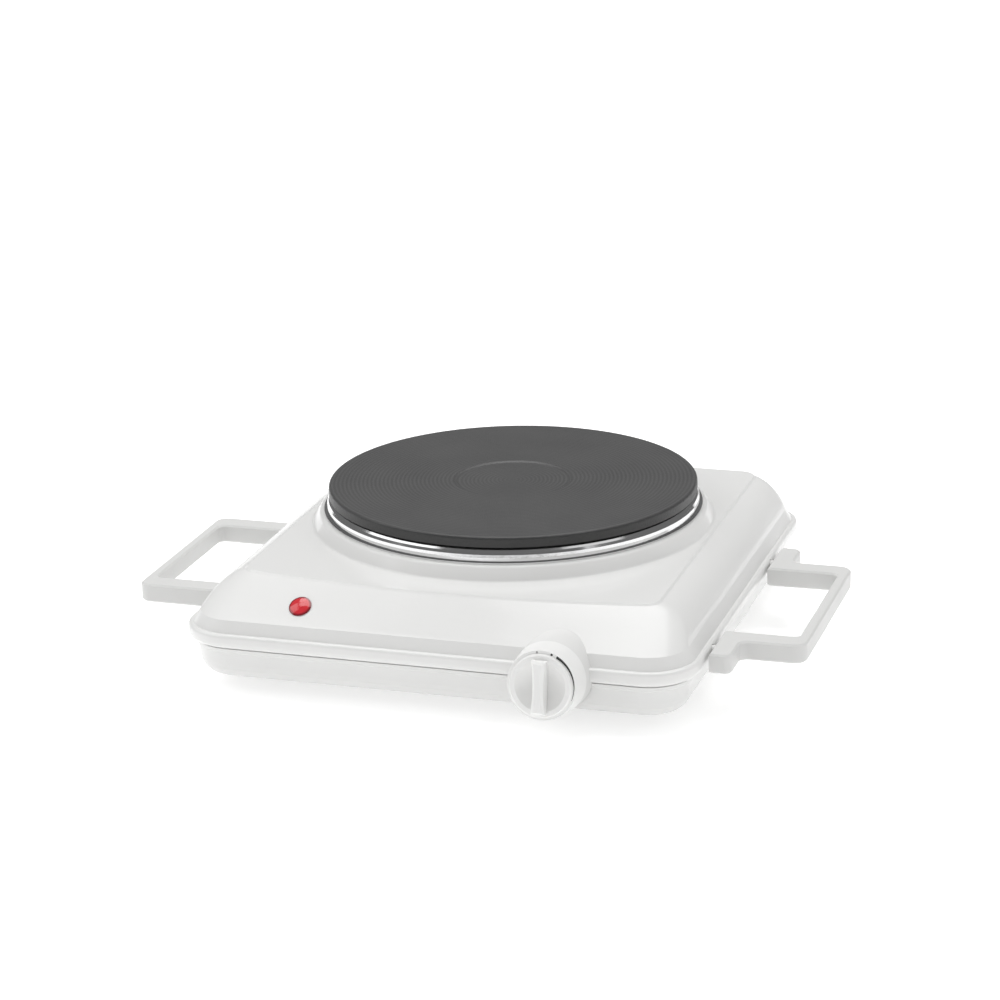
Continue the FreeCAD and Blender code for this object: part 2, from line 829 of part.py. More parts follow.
def knob():
    """Hollow tapered skirt with a dial ring, a dished cap, a grip bar across it and a hub for the spindle."""
    rear = knob_rear_radius
    shoulder = knob_shoulder_radius
    front = knob_front_radius
    s_dial = knob_stand - knob_shoulder
    cap = revolved([(0, knob_foot), (rear, knob_foot), (shoulder, s_dial), (front, s_dial),
                    (front, knob_stand - knob_bevel), (front - knob_bevel, knob_stand), (0, knob_stand)])
    hollow = revolved([(0, knob_foot), (rear - knob_wall, knob_foot), (shoulder - knob_wall, s_knob_web),
                       (0, s_knob_web)])
    dish_edge = front - knob_bevel - knob_ring
    dish_radius = (dish_edge ** 2 + knob_dish ** 2) / (2 * knob_dish)
    dish = Part.makeSphere(dish_radius, Vector(0, 0, knob_stand - knob_dish + dish_radius))
    cap = cap.cut([hollow, dish])
    cap = cap.fuse([rod(knob_hub_radius, knob_foot, s_knob_web), knob_bar()])
    bore = rod(spindle_radius + slip, knob_foot, s_spindle_tip + loose)
    flat = box(-knob_hub_radius, knob_hub_radius, spindle_flat + clip_sheet + 2 * slip, knob_hub_radius,
               knob_foot, s_spindle_tip + loose)
    return cap.cut(bore.cut(flat))


def knob_bar():
    """Waisted grip bar across the dish, rounded along its front."""
    half = knob_bar_length / 2
    end = knob_bar_width / 2
    waist = knob_bar_waist / 2
    foot = s_knob_web + knob_wall / 2
    front = knob_stand + knob_bar_proud

    def point(x, y):
        return Vector(x, y, foot)

    sides = [Part.Arc(point(end, -half), point(waist, 0), point(end, half)),
             Part.LineSegment(point(end, half), point(-end, half)),
             Part.Arc(point(-end, half), point(-waist, 0), point(-end, -half)),
             Part.LineSegment(point(-end, -half), point(end, -half))]
    bar = prism(Part.Wire([side.toShape() for side in sides]), front - foot)
    return bar.makeChamfer(knob_bar_waist * 0.25, level_edges(bar, front))


def knob_spring_clip():
    """Leaf spring between the spindle's flat and the knob's bore."""
    low = spindle_flat + slip
    half_width = spindle_radius * 0.6
    return box(-half_width, half_width, low, low + clip_sheet, knob_foot, s_spindle_tip - knob_wall)


def thermostat_spindle():
    tip = s_spindle_tip
    shaft = rod(spindle_radius, s_spindle_collar - spindle_collar_height() - spindle_tip_reach(), tip)
    shaft = shaft.fuse(rod(spindle_collar, s_spindle_collar - spindle_collar_height(), s_spindle_collar))
    flat_foot = knob_foot - spindle_tail
    flat = box(-spindle_radius, spindle_radius, spindle_flat, 2 * spindle_radius, flat_foot, tip)
    return shaft.cut(flat)


def spindle_collar_height():
    return chassis_sheet


def spindle_tip_reach():
    """How far the spindle's tail stands behind its collar, up to the spring blade."""
    return s_spindle_collar - spindle_collar_height() - (stack_levels()["spring_blade"][1] + loose)


def stack_levels():
    """Rear and front of each layer of the riveted stack, from the frame backwards."""
    layers = [("ring_1", ceramic_height), ("spring_blade", blade_sheet), ("tab_1", tab_sheet),
              ("ring_2", ceramic_height), ("contact_arm", blade_sheet), ("tab_2", tab_sheet),
              ("ring_3", ceramic_height), ("bimetal", bimetal_sheet)]
    levels = {}
    front = s_bush
    for name, height in layers:
        levels[name] = (front - height, front)
        front -= height
    return levels


def knob_collar(body_solids):
    """Conical housing between body and knob; its back follows the body's surface."""
    foot = -body_corner
    rear = collar_rear_radius
    front = collar_front_radius
    shell = revolved([(0, foot), (rear, foot), (front, s_collar - collar_bevel),
                      (front - collar_bevel, s_collar), (0, s_collar)])
    hollow = revolved([(0, foot), (rear - collar_wall, foot),
                       (front - collar_wall, s_collar - collar_web), (0, s_collar - collar_web)])
    housing = on_knob_axis(shell.cut(hollow)).cut(body_solids)
    housing = max(housing.Solids, key=lambda solid: solid.Volume)
    bosses = [on_knob_axis(rod(collar_boss_radius, s_chassis, s_collar - collar_web / 2, 0, y))
              for y in collar_screw_places()]
    bores = [on_knob_axis(rod(collar_screw_radius + slip, s_chassis, s_collar - 2 * collar_web, 0, y))
             for y in collar_screw_places()]
    bores.append(on_knob_axis(rod(bush_radius + loose, s_chassis, s_collar)))
    return housing.fuse(bosses).cut(bores)


def collar_screw_places():
    return [-collar_screw_offset, collar_screw_offset]


def collar_screws():
    length = s_collar - 2 * collar_web - loose - s_frame
    return Part.makeCompound([on_knob_axis(screw(collar_screw_radius, length, 0, y, s_frame))
                              for y in collar_screw_places()])


def thermostat_chassis():
    """Angle bracket on the tray's floor; its upright stands square to the knob's axis."""
    half = chassis_half_width
    upright = on_knob_axis(box(-half, half, -knob_level, half, s_frame, s_chassis))
    rear = wall_front + chassis_behind_wall + chassis_foot
    below = box(knob_x - 2 * half, knob_x + 2 * half, wall_front - chassis_foot, rear, -knob_level, z_floor)
    upright = upright.cut(below)
    front = max(vertex.Point.y for vertex in upright.Vertexes if vertex.Point.z < z_floor + slip) - slip
    foot = box(knob_x - half, knob_x + half, front, rear, z_floor, z_floor + chassis_sheet)
    holes = [on_knob_axis(rod(bush_radius + slip, s_frame, s_chassis))]
    holes += [on_knob_axis(rod(collar_screw_radius + loose, s_frame, s_chassis, 0, y))
              for y in collar_screw_places()]
    holes += [rod(chassis_screw_radius + slip, z_floor, z_floor + chassis_sheet, x, y)
              for x, y in chassis_screw_places()]
    return upright.fuse(foot).cut(holes)


def chassis_screws():
    length = sheet + 2 * chassis_sheet
    return Part.makeCompound([screw(chassis_screw_radius, length, x, y, z_tray)
                              for x, y in chassis_screw_places()])


def thermostat_frame():
    half = frame_half_height
    strip = box(-stack_offset - half, half, -half, half, s_bush, s_frame)
    uprights = [edge for edge in strip.Edges if edge.BoundBox.ZLength > frame_sheet / 2]
    strip = strip.makeFillet(half * 0.6, uprights)
    return strip.cut([rod(bush_radius + slip, s_bush, s_frame),
                      rod(rivet_radius + slip, s_bush, s_frame, -stack_offset)])


def thermostat_bush():
    front = s_chassis + bush_nut_height + chassis_sheet
    bush = rod(bush_radius, s_bush, front).fuse(rod(bush_flange_radius, s_bush - bush_flange, s_bush))
    return bush.cut(rod(spindle_radius + slip, s_bush - bush_flange, front))


def bush_nut():
    return hexagon(bush_nut_across, s_chassis, s_chassis + bush_nut_height, bush_radius + slip)


def ceramic_rings():
    levels = stack_levels()
    return Part.makeCompound([tube(ceramic_radius, rivet_radius + slip, *levels[name], -stack_offset)
                              for name in ("ring_1", "ring_2", "ring_3")])


def stack_rivet():
    rear = stack_levels()["bimetal"][0]
    shank = rod(rivet_radius, rear - rivet_head, s_frame + rivet_head, -stack_offset)
    return shank.fuse([rod(rivet_radius * 1.8, rear - rivet_head, rear, -stack_offset),
                       rod(rivet_radius * 1.8, s_frame, s_frame + rivet_head, -stack_offset)])


def blade(level, reach):
    """Flat blade from the stack towards the spindle, with a round root."""
    rear, front = level
    half = blade_width / 2
    strip = box(-stack_offset, -stack_offset + reach, -half, half, rear, front)
    strip = strip.fuse(rod(ceramic_radius, rear, front, -stack_offset)).removeSplitter()
    return strip.cut(rod(rivet_radius + slip, rear, front, -stack_offset))


def contact_places():
    levels = stack_levels()
    x = blade_reach - stack_offset - contact_radius * 1.5
    spring_rear = levels["spring_blade"][0]
    arm_front = levels["contact_arm"][1]
    return [(x, spring_rear - contact_height, spring_rear), (x, arm_front, arm_front + contact_height)]


def contact_points():
    return Part.makeCompound([rod(contact_radius, rear, front, x) for x, rear, front in contact_places()])


def terminal_tab(level, direction):
    """Push-on tab from the stack, up or down."""
    rear, front = level
    y0, y1 = sorted([0, direction * (ceramic_radius + tab_length)])
    half = blade_width / 2
    strip = box(-stack_offset - half, -stack_offset + half, y0, y1, rear, front)
    strip = strip.fuse(rod(ceramic_radius, rear, front, -stack_offset)).removeSplitter()
    return strip.cut(rod(rivet_radius + slip, rear, front, -stack_offset))


def thermostat_tabs():
    levels = stack_levels()
    return Part.makeCompound([terminal_tab(levels["tab_1"], 1), terminal_tab(levels["tab_2"], -0.5)])


# Pilot lamp, drawn standing on its hole in the strip

def at_lamp(shape):
    placed = shape.copy()
    placed.Placement = lamp_placement()
    return placed


def pilot_lens():
    """Red lens: a low dome with a flange and a hollow stem."""
    dome_radius = (lens_radius ** 2 + lens_dome ** 2) / (2 * lens_dome)
    dome = Part.makeSphere(dome_radius, Vector(0, 0, lens_dome - dome_radius))
    dome = dome.common(rod(lens_radius, loose, lens_dome))
    stem = tube(lens_stem_radius, lens_stem_radius - lens_wall, -lens_stem_length, loose)
    return dome.fuse(stem)


def lamp_clip():
    """Push-on spring washer under the strip."""
    top = -sheet - loose
    return tube(lamp_clip_radius, lens_stem_radius + slip, top - lamp_clip_sheet, top)


def lamp_bulb():
    top = -loose
    bulb = rod(bulb_radius, top - bulb_length, top)
    return bulb.makeChamfer(bulb_radius * 0.5, level_edges(bulb, top))


# Gland, terminals and wires

def rear_wall():
    """Y of the tray's outside at the gland."""
    return body_depth / 2 - tray_inset - tray_draft * (z_seam - gland_level)


def along_y(radius, y0, y1, x, z):
    return Part.makeCylinder(radius, y1 - y0, Vector(x, y0, z), ALONG_Y)


def cord_gland():
    wall = rear_wall() + tray_draft * gland_flange_radius
    flange = along_y(gland_flange_radius, wall, wall + gland_flange, gland_x, gland_level)
    flange = flange.makeChamfer(gland_flange * 0.4, [flange.Edges[0]])
    neck = along_y(gland_neck_radius, wall - sheet - 2 * gland_nut, wall, gland_x, gland_level)
    return flange.fuse(neck).cut(along_y(gland_bore_radius, wall - 4 * gland_nut, wall + gland_flange,
                                         gland_x, gland_level))


def gland_locknut():
    face = rear_wall() - sheet - loose - tray_draft * gland_flange_radius
    ring = along_y(gland_flange_radius, face - gland_nut, face, gland_x, gland_level)
    return ring.cut(along_y(gland_neck_radius + slip, face - gland_nut, face, gland_x, gland_level))


def mains_terminal_block():
    centre = block_centre()
    half = block_pole_pitch * block_poles / 2
    block = box(centre.x - half, centre.x + half, centre.y - block_depth / 2, centre.y + block_depth / 2,
                z_floor, z_floor + block_height)
    bore_level = z_floor + block_height * 0.55
    cuts = []
    for x in pole_places():
        cuts.append(along_y(block_bore_radius, centre.y - block_depth, centre.y + block_depth, x, bore_level))
        cuts.append(rod(block_screw_radius + slip, bore_level, z_floor + block_height, x, centre.y))
    for k in range(1, block_poles):
        x = centre.x - half + k * block_pole_pitch
        cuts.append(box(x - sheet / 2, x + sheet / 2, centre.y - block_depth, centre.y + block_depth,
                        z_floor + block_height * 0.8, z_floor + block_height))
    cuts += [rod(block_fixing_radius + slip, z_floor, z_floor + block_height * 0.3, x, y)
             for x, y in block_fixing_places()]
    return block.cut(cuts)


def pole_places():
    centre = block_centre()
    return [centre.x + (k - (block_poles - 1) / 2) * block_pole_pitch for k in range(block_poles)]


def terminal_screws():
    top = z_floor + block_height
    bore_level = z_floor + block_height * 0.55
    return Part.makeCompound([rod(block_screw_radius, bore_level, top + sheet, x, block_centre().y)
                              for x in pole_places()])


def block_screws():
    length = sheet + block_height * 0.3 - loose
    return Part.makeCompound([screw(block_fixing_radius, length, x, y, z_tray)
                              for x, y in block_fixing_places()])


def earth_screw():
    return screw(earth_screw_radius, sheet + lug_sheet + earth_screw_radius * 3, earth_x, earth_y, z_tray)


def earth_nut():
    foot = z_floor + lug_sheet
    return hexagon(earth_screw_radius * 3.5, foot, foot + earth_screw_radius * 1.6,
                   earth_screw_radius + slip, earth_x, earth_y)


def earth_lug():
    """Ring lug with a barrel for the earth wire, pointing at the terminal block."""
    foot = z_floor
    barrel = block_bore_radius
    ring = rod(lug_radius, foot, foot + lug_sheet, earth_x, earth_y)
    tail = box(earth_x - lug_radius * 2.2, earth_x, earth_y - barrel, earth_y + barrel,
               foot, foot + lug_sheet)
    return ring.fuse(tail).removeSplitter().cut(rod(earth_screw_radius + slip, foot, foot + lug_sheet,
                                                    earth_x, earth_y))



def wire(points, radius):
    """Insulated wire of straight runs with mitred bends, six-sided in section."""
    runs = [b - a for a, b in zip(points, points[1:])]
    solids = []
    side = runs[0].cross(UP if abs(runs[0].normalize().z) < 0.9 else ALONG_X).normalize()
    lift = runs[0].cross(side).normalize()
    ring = [points[0] + side * radius * cos(radians(60 * k)) + lift * radius * sin(radians(60 * k))
            for k in range(6)]
    for k, end in enumerate(points[1:]):
        run = (end - points[k]).normalize()
        ahead = (points[k + 2] - end).normalize() if k + 2 < len(points) else run
        normal = (run + ahead).normalize()
        next_ring = [corner + run * ((end - corner).dot(normal) / run.dot(normal)) for corner in ring]
        sections = [Part.makePolygon(loop + loop[:1]) for loop in (ring, next_ring)]
        solids.append(Part.makeLoft(sections, True, True))
        ring = next_ring
    return solids[0].fuse(solids[1:]).removeSplitter() if len(solids) > 1 else solids[0]


def axis_point(x, y, s):
    """Point given in the knob's axis frame."""
    return Placement(Vector(knob_x, wall_front, knob_level), Rotation(ALONG_X, 90 - knob_tilt)).multVec(
        Vector(x, y, s))


def pole_point(k):
    """End of a wire in the terminal block's pole, just in front of its screw."""
    centre = block_centre()
    y = centre.y - block_screw_radius - block_bore_radius
    return Vector(pole_places()[k], y, z_floor + block_height * 0.55)


def tab_point(name, rise, x):
    """End of a wire behind a terminal tab of the thermostat."""
    return axis_point(x - stack_offset, rise, stack_levels()[name][0] - loose)


def pin_point(k):
    return Vector(pin_places()[k], plate_y, coil_level() - coil_radius - pin_length - loose)


def wire_live():
    start = pole_point(2)
    end = tab_point("tab_1", ceramic_radius + tab_length * 0.8, wire_radius * 1.4)
    behind = end.y + stack_offset / 2
    return wire([start,
                 start - ALONG_Y * block_depth,
                 Vector(start.x + block_depth, start.y - 2 * block_depth, wire_level),
                 Vector(end.x, behind + block_depth, wire_level),
                 Vector(end.x, behind, wire_level + wire_radius),
                 Vector(end.x, behind, end.z),
                 end], wire_radius)


def wire_switched():
    start = tab_point("tab_2", -ceramic_radius - 2 * wire_radius, -wire_radius * 1.4)
    end = pin_point(1)
    return wire([start, Vector(start.x, start.y + stack_offset * 0.7, start.z),
                 Vector((start.x + end.x) / 2, (start.y + end.y) / 2, start.z + wire_radius),
                 Vector(end.x, end.y, end.z - block_height), end], wire_radius)


def wire_neutral():
    start = pole_point(1)
    end = pin_point(0)
    return wire([start, start - ALONG_Y * block_depth,
                 Vector(start.x / 2, plate_y + stack_offset, wire_level * 2),
                 Vector(end.x, end.y, end.z - block_height), end], wire_radius)


def wire_earth():
    start = pole_point(0)
    level = z_floor + lug_sheet + wire_radius
    tail = Vector(earth_x - lug_radius * 1.6, earth_y, level)
    turn = start.y - 2 * block_depth
    return wire([start, Vector(start.x, turn, start.z), Vector(tail.x - block_depth / 2, turn, level),
                 Vector(tail.x, tail.y - block_depth, level), tail], wire_radius)


def build_nodes():
    """Every piece of the hot plate by name, before the origin is set."""
    cover_solid = cover_outside()
    tray_solid = tray_form(0, z_lip)
    bead_envelope = tray_form(-tray_bead, z_lip)
    pieces = {
        "base_tray": base_tray(tray_solid),
        "top_cover": top_cover(cover_solid),
        "cover_posts": cover_posts(),
        "foot_screws": foot_screws(),
        "left_handle": handle(-1),
        "right_handle": handle(1),
        "handle_screws": handle_screws(),
        "cast_iron_plate": cast_iron_plate(),
        "spill_ring": spill_ring(),
        "heating_coil": heating_coil(),
        "insulation_mass": insulation_mass(),
        "plate_bottom_cover": plate_bottom_cover(),
        "plate_terminal_bar": plate_terminal_bar(),
        "plate_pins": plate_pins(),
        "plate_stud": plate_stud(),
        "clamp_bracket": clamp_bracket(),
        "stud_washer": stud_washer(),
        "stud_nut": stud_nut(),
        "knob_collar": knob_collar([cover_solid, bead_envelope]),
        "collar_screws": collar_screws(),
        "thermostat_chassis": thermostat_chassis(),
        "chassis_screws": chassis_screws(),
        "pilot_lens": at_lamp(pilot_lens()),
        "lamp_clip": at_lamp(lamp_clip()),
        "lamp_bulb": at_lamp(lamp_bulb()),
        "cord_gland": cord_gland(),
        "gland_locknut": gland_locknut(),
        "mains_terminal_block": mains_terminal_block(),
        "terminal_screws": terminal_screws(),
        "block_screws": block_screws(),
        "earth_screw": earth_screw(),
        "earth_nut": earth_nut(),
        "earth_lug": earth_lug(),
        "wire_live": wire_live(),
        "wire_switched": wire_switched(),
        "wire_neutral": wire_neutral(),
        "wire_earth": wire_earth(),
    }
    on_axis = {
        "knob": knob(),
        "knob_spring_clip": knob_spring_clip(),
        "thermostat_spindle": thermostat_spindle(),
        "thermostat_frame": thermostat_frame(),
        "thermostat_bush": thermostat_bush(),
        "bush_nut": bush_nut(),
        "ceramic_rings": ceramic_rings(),
        "stack_rivet": stack_rivet(),
        "spring_blade": blade(stack_levels()["spring_blade"], blade_reach),
        "contact_arm": blade(stack_levels()["contact_arm"], blade_reach),
        "bimetal_blade": blade(stack_levels()["bimetal"], blade_reach * 0.8),
        "contact_points": contact_points(),
        "thermostat_tabs": thermostat_tabs(),
    }
    for name, shape in on_axis.items():
        pieces[name] = on_knob_axis(shape)
    corner_names = ["foot_front_left", "foot_front_right", "foot_rear_left", "foot_rear_right"]
    for name, (x, y) in zip(corner_names, foot_places()):
        pieces[name] = rubber_foot(x, y)
    return pieces


pieces = build_nodes()
front_end = pieces["knob"].optimalBoundingBox().YMin
shift = Vector(0, -(front_end + body_depth / 2) / 2, 0)
os.makedirs("parts", exist_ok=True)
for name, shape in pieces.items():
    shape.translate(shift)
    shape.exportStep("parts/" + name + ".step")
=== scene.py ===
from math import cos, degrees, pi, radians, sin

import bpy
from mathutils import Matrix, Vector


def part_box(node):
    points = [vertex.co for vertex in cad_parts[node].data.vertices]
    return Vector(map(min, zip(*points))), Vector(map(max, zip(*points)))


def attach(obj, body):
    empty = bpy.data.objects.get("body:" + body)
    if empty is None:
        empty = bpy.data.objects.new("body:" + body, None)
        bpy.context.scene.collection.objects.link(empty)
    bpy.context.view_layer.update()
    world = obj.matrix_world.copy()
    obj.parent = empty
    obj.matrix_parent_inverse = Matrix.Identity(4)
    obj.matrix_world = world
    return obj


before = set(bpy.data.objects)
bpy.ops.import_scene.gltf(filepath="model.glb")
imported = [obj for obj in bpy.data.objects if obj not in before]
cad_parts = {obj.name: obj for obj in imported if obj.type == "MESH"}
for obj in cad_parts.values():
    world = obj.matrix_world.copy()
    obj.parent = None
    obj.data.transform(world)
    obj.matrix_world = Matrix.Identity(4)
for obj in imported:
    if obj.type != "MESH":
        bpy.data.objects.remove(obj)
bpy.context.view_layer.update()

# Base tray: deep-drawn sheet steel under white vitreous enamel, vented through its floor.
# It carries the feet, the thermostat's bracket, the terminal block and both handles.
ENAMEL_WHITE = (0.83, 0.83, 0.82, 1.0)
ENAMEL_SHADE = (0.79, 0.79, 0.78, 1.0)
CLOUD_DETAIL = 4.0
GLOSS_SPREAD = 0.15
GRAIN_DEPTH = 0.001
COAT_ROUGHNESS = 0.08
MIX_COLOUR_A = 6
MIX_COLOUR_B = 7
MIX_COLOUR_OUT = 2


def paint(node_names, material):
    """Gives solids a finish."""
    for name in node_names:
        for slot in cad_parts[name].material_slots:
            slot.material = material


def surface(name, colour, shade, cloud_scale, roughness, grain_scale, grain, metallic=0.0, coat=0.0):
    """Finish with a clouded colour, an uneven gloss and a fine surface grain."""
    material = bpy.data.materials.new(name)
    material.use_nodes = True
    nodes = material.node_tree.nodes
    links = material.node_tree.links
    shader = nodes["Principled BSDF"]
    place = nodes.new("ShaderNodeTexCoord")

    cloud = nodes.new("ShaderNodeTexNoise")
    cloud.inputs["Scale"].default_value = cloud_scale
    cloud.inputs["Detail"].default_value = CLOUD_DETAIL
    links.new(place.outputs["Object"], cloud.inputs["Vector"])
    mix = nodes.new("ShaderNodeMix")
    mix.data_type = "RGBA"
    mix.inputs[MIX_COLOUR_A].default_value = colour
    mix.inputs[MIX_COLOUR_B].default_value = shade
    links.new(cloud.outputs["Fac"], mix.inputs["Factor"])
    links.new(mix.outputs[MIX_COLOUR_OUT], shader.inputs["Base Color"])

    gloss = nodes.new("ShaderNodeMapRange")
    gloss.inputs["To Min"].default_value = roughness * (1 - GLOSS_SPREAD)
    gloss.inputs["To Max"].default_value = roughness * (1 + GLOSS_SPREAD)
    links.new(cloud.outputs["Fac"], gloss.inputs["Value"])
    links.new(gloss.outputs["Result"], shader.inputs["Roughness"])

    grains = nodes.new("ShaderNodeTexNoise")
    grains.inputs["Scale"].default_value = grain_scale
    links.new(place.outputs["Object"], grains.inputs["Vector"])
    relief = nodes.new("ShaderNodeBump")
    relief.inputs["Strength"].default_value = grain
    relief.inputs["Distance"].default_value = GRAIN_DEPTH
    links.new(grains.outputs["Fac"], relief.inputs["Height"])
    links.new(relief.outputs["Normal"], shader.inputs["Normal"])

    shader.inputs["Metallic"].default_value = metallic
    shader.inputs["Coat Weight"].default_value = coat
    shader.inputs["Coat Roughness"].default_value = COAT_ROUGHNESS
    return material


enamel = surface("white_enamel_gloss", ENAMEL_WHITE, ENAMEL_SHADE, cloud_scale=14.0, roughness=0.34,
                 grain_scale=320.0, grain=0.05, coat=0.35)
paint(["base_tray"], enamel)

# Rubber feet, each held by a zinc-plated screw that runs up into a post under the cover.
# These screws and the ones through the tray's floor have pan heads with a cross recess.
RUBBER_BLACK = (0.022, 0.022, 0.022, 1.0)
RUBBER_GREY = (0.035, 0.035, 0.034, 1.0)
ZINC = (0.60, 0.61, 0.62, 1.0)
ZINC_DULL = (0.47, 0.48, 0.50, 1.0)
RECESS_SHADE_DARK = (0.035, 0.035, 0.036, 1.0)
RECESS_SHADE_EDGE = (0.090, 0.090, 0.092, 1.0)
FOOT_HEAD_RADIUS = 0.0037
CROSS_LENGTH = 0.0026
CROSS_WIDTH = 0.0006
CROSS_DEPTH = 0.00008
PLACE_DIGITS = 5

rubber = surface("foot_rubber", RUBBER_BLACK, RUBBER_GREY, cloud_scale=60.0, roughness=0.72,
                 grain_scale=1500.0, grain=0.25)
paint(["foot_front_left", "foot_front_right", "foot_rear_left", "foot_rear_right"], rubber)
zinc = surface("zinc_plate", ZINC, ZINC_DULL, cloud_scale=90.0, roughness=0.32,
               grain_scale=700.0, grain=0.08, metallic=1.0)
paint(["cover_posts", "foot_screws", "chassis_screws", "block_screws", "handle_screws", "collar_screws",
       "earth_screw", "earth_nut", "stud_nut", "stud_washer", "plate_stud", "clamp_bracket",
       "plate_bottom_cover", "thermostat_chassis", "thermostat_frame", "thermostat_spindle",
       "stack_rivet"], zinc)
# The cross recesses in the screw heads are drawn as thin dark crosses of painted shade.
recess = surface("recess_shadow", RECESS_SHADE_DARK, RECESS_SHADE_EDGE, cloud_scale=600.0, roughness=0.6,
                 grain_scale=900.0, grain=0.1, metallic=0.5)


def head_places(node_name, head_radius=None):
    """Middles of the screw heads of a node, at the heads' lower faces."""
    low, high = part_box(node_name)
    inset = head_radius or (high[1] - low[1]) / 2
    columns = {round(low[0] + inset, PLACE_DIGITS), round(high[0] - inset, PLACE_DIGITS)}
    rows = {round(low[1] + inset, PLACE_DIGITS), round(high[1] - inset, PLACE_DIGITS)}
    return [(x, y, low[2]) for x in sorted(columns) for y in sorted(rows)]


def cross_tree():
    """Puts a small cross on every point of a mesh."""
    tree = bpy.data.node_groups.new("cross_recesses", "GeometryNodeTree")
    sockets = tree.interface
    sockets.new_socket("Heads", in_out="INPUT", socket_type="NodeSocketGeometry")
    for label in ("Arm length", "Arm width", "Depth"):
        sockets.new_socket(label, in_out="INPUT", socket_type="NodeSocketFloat")
    sockets.new_socket("Finish", in_out="INPUT", socket_type="NodeSocketMaterial")
    sockets.new_socket("Crosses", in_out="OUTPUT", socket_type="NodeSocketGeometry")
    given = tree.nodes.new("NodeGroupInput")
    joined = tree.nodes.new("GeometryNodeJoinGeometry")
    for first, second in (("Arm length", "Arm width"), ("Arm width", "Arm length")):
        size = tree.nodes.new("ShaderNodeCombineXYZ")
        tree.links.new(given.outputs[first], size.inputs["X"])
        tree.links.new(given.outputs[second], size.inputs["Y"])
        tree.links.new(given.outputs["Depth"], size.inputs["Z"])
        arm = tree.nodes.new("GeometryNodeMeshCube")
        tree.links.new(size.outputs["Vector"], arm.inputs["Size"])
        tree.links.new(arm.outputs["Mesh"], joined.inputs["Geometry"])
    scatter = tree.nodes.new("GeometryNodeInstanceOnPoints")
    tree.links.new(given.outputs["Heads"], scatter.inputs["Points"])
    tree.links.new(joined.outputs["Geometry"], scatter.inputs["Instance"])
    realize = tree.nodes.new("GeometryNodeRealizeInstances")
    tree.links.new(scatter.outputs["Instances"], realize.inputs["Geometry"])
    finish = tree.nodes.new("GeometryNodeSetMaterial")
    tree.links.new(realize.outputs["Geometry"], finish.inputs["Geometry"])
    tree.links.new(given.outputs["Finish"], finish.inputs["Material"])
    result = tree.nodes.new("NodeGroupOutput")
    tree.links.new(finish.outputs["Geometry"], result.inputs["Crosses"])
    return tree


heads = head_places("foot_screws", FOOT_HEAD_RADIUS)
for floor_screws in ("chassis_screws", "block_screws", "earth_screw"):
    heads += head_places(floor_screws)
head_mesh = bpy.data.meshes.new("screw_head_points")
head_mesh.from_pydata(heads, [], [])
crosses = bpy.data.objects.new("screw_crosses", head_mesh)
bpy.context.scene.collection.objects.link(crosses)
cross_maker = crosses.modifiers.new("cross_recesses", "NODES")
cross_maker.node_group = cross_tree()
cross_values = {"Arm length": CROSS_LENGTH, "Arm width": CROSS_WIDTH, "Depth": CROSS_DEPTH, "Finish": recess}
for socket in cross_maker.node_group.interface.items_tree:
    if socket.in_out == "INPUT" and socket.name in cross_values:
        cross_maker[socket.identifier] = cross_values[socket.name]
bpy.context.view_layer.update()
evaluated = crosses.evaluated_get(bpy.context.evaluated_depsgraph_get())
crosses.data = bpy.data.meshes.new_from_object(evaluated)
crosses.modifiers.remove(cross_maker)
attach(crosses, "housing")

# Thermostat: brass bush and tabs, steatite rings, steel blades and a bimetal strip on one rivet.
# It hangs on its steel chassis behind the front wall.
BRASS = (0.66, 0.47, 0.18, 1.0)
BRASS_DULL = (0.50, 0.34, 0.13, 1.0)
STEATITE = (0.80, 0.77, 0.68, 1.0)
STEATITE_GREY = (0.70, 0.67, 0.59, 1.0)
SPRING_STEEL = (0.30, 0.31, 0.33, 1.0)
SPRING_BLUE = (0.22, 0.23, 0.28, 1.0)
BIMETAL_WARM = (0.48, 0.42, 0.34, 1.0)
BIMETAL_COLD = (0.36, 0.34, 0.31, 1.0)

brass = surface("turned_brass", BRASS, BRASS_DULL, cloud_scale=120.0, roughness=0.30,
                grain_scale=900.0, grain=0.06, metallic=1.0)
paint(["thermostat_bush", "bush_nut", "contact_points", "thermostat_tabs", "terminal_screws",
       "earth_lug"], brass)
steatite = surface("steatite", STEATITE, STEATITE_GREY, cloud_scale=80.0, roughness=0.70,
                   grain_scale=1200.0, grain=0.2)
paint(["ceramic_rings", "plate_terminal_bar"], steatite)
spring = surface("spring_strip", SPRING_STEEL, SPRING_BLUE, cloud_scale=70.0, roughness=0.28,
                 grain_scale=800.0, grain=0.06, metallic=1.0)
paint(["spring_blade", "contact_arm", "knob_spring_clip", "lamp_clip"], spring)
bimetal = surface("bimetal_strip", BIMETAL_WARM, BIMETAL_COLD, cloud_scale=70.0, roughness=0.36,
                  grain_scale=800.0, grain=0.08, metallic=1.0)
paint(["bimetal_blade"], bimetal)

# Cord gland with its locknut in the rear wall, and the moulded terminal block on the floor near it.
# The gland is black polyamide, the block is pale and heat proof.
POLYAMIDE = (0.020, 0.020, 0.021, 1.0)
POLYAMIDE_WORN = (0.034, 0.034, 0.035, 1.0)
PALE_MOULDING = (0.72, 0.69, 0.60, 1.0)
PALE_SHADE = (0.64, 0.61, 0.53, 1.0)

polyamide = surface("black_polyamide", POLYAMIDE, POLYAMIDE_WORN, cloud_scale=80.0, roughness=0.5,
                    grain_scale=1600.0, grain=0.15)
paint(["cord_gland", "gland_locknut"], polyamide)
moulding = surface("pale_moulding", PALE_MOULDING, PALE_SHADE, cloud_scale=50.0, roughness=0.55,
                   grain_scale=1300.0, grain=0.12)
paint(["mains_terminal_block"], moulding)

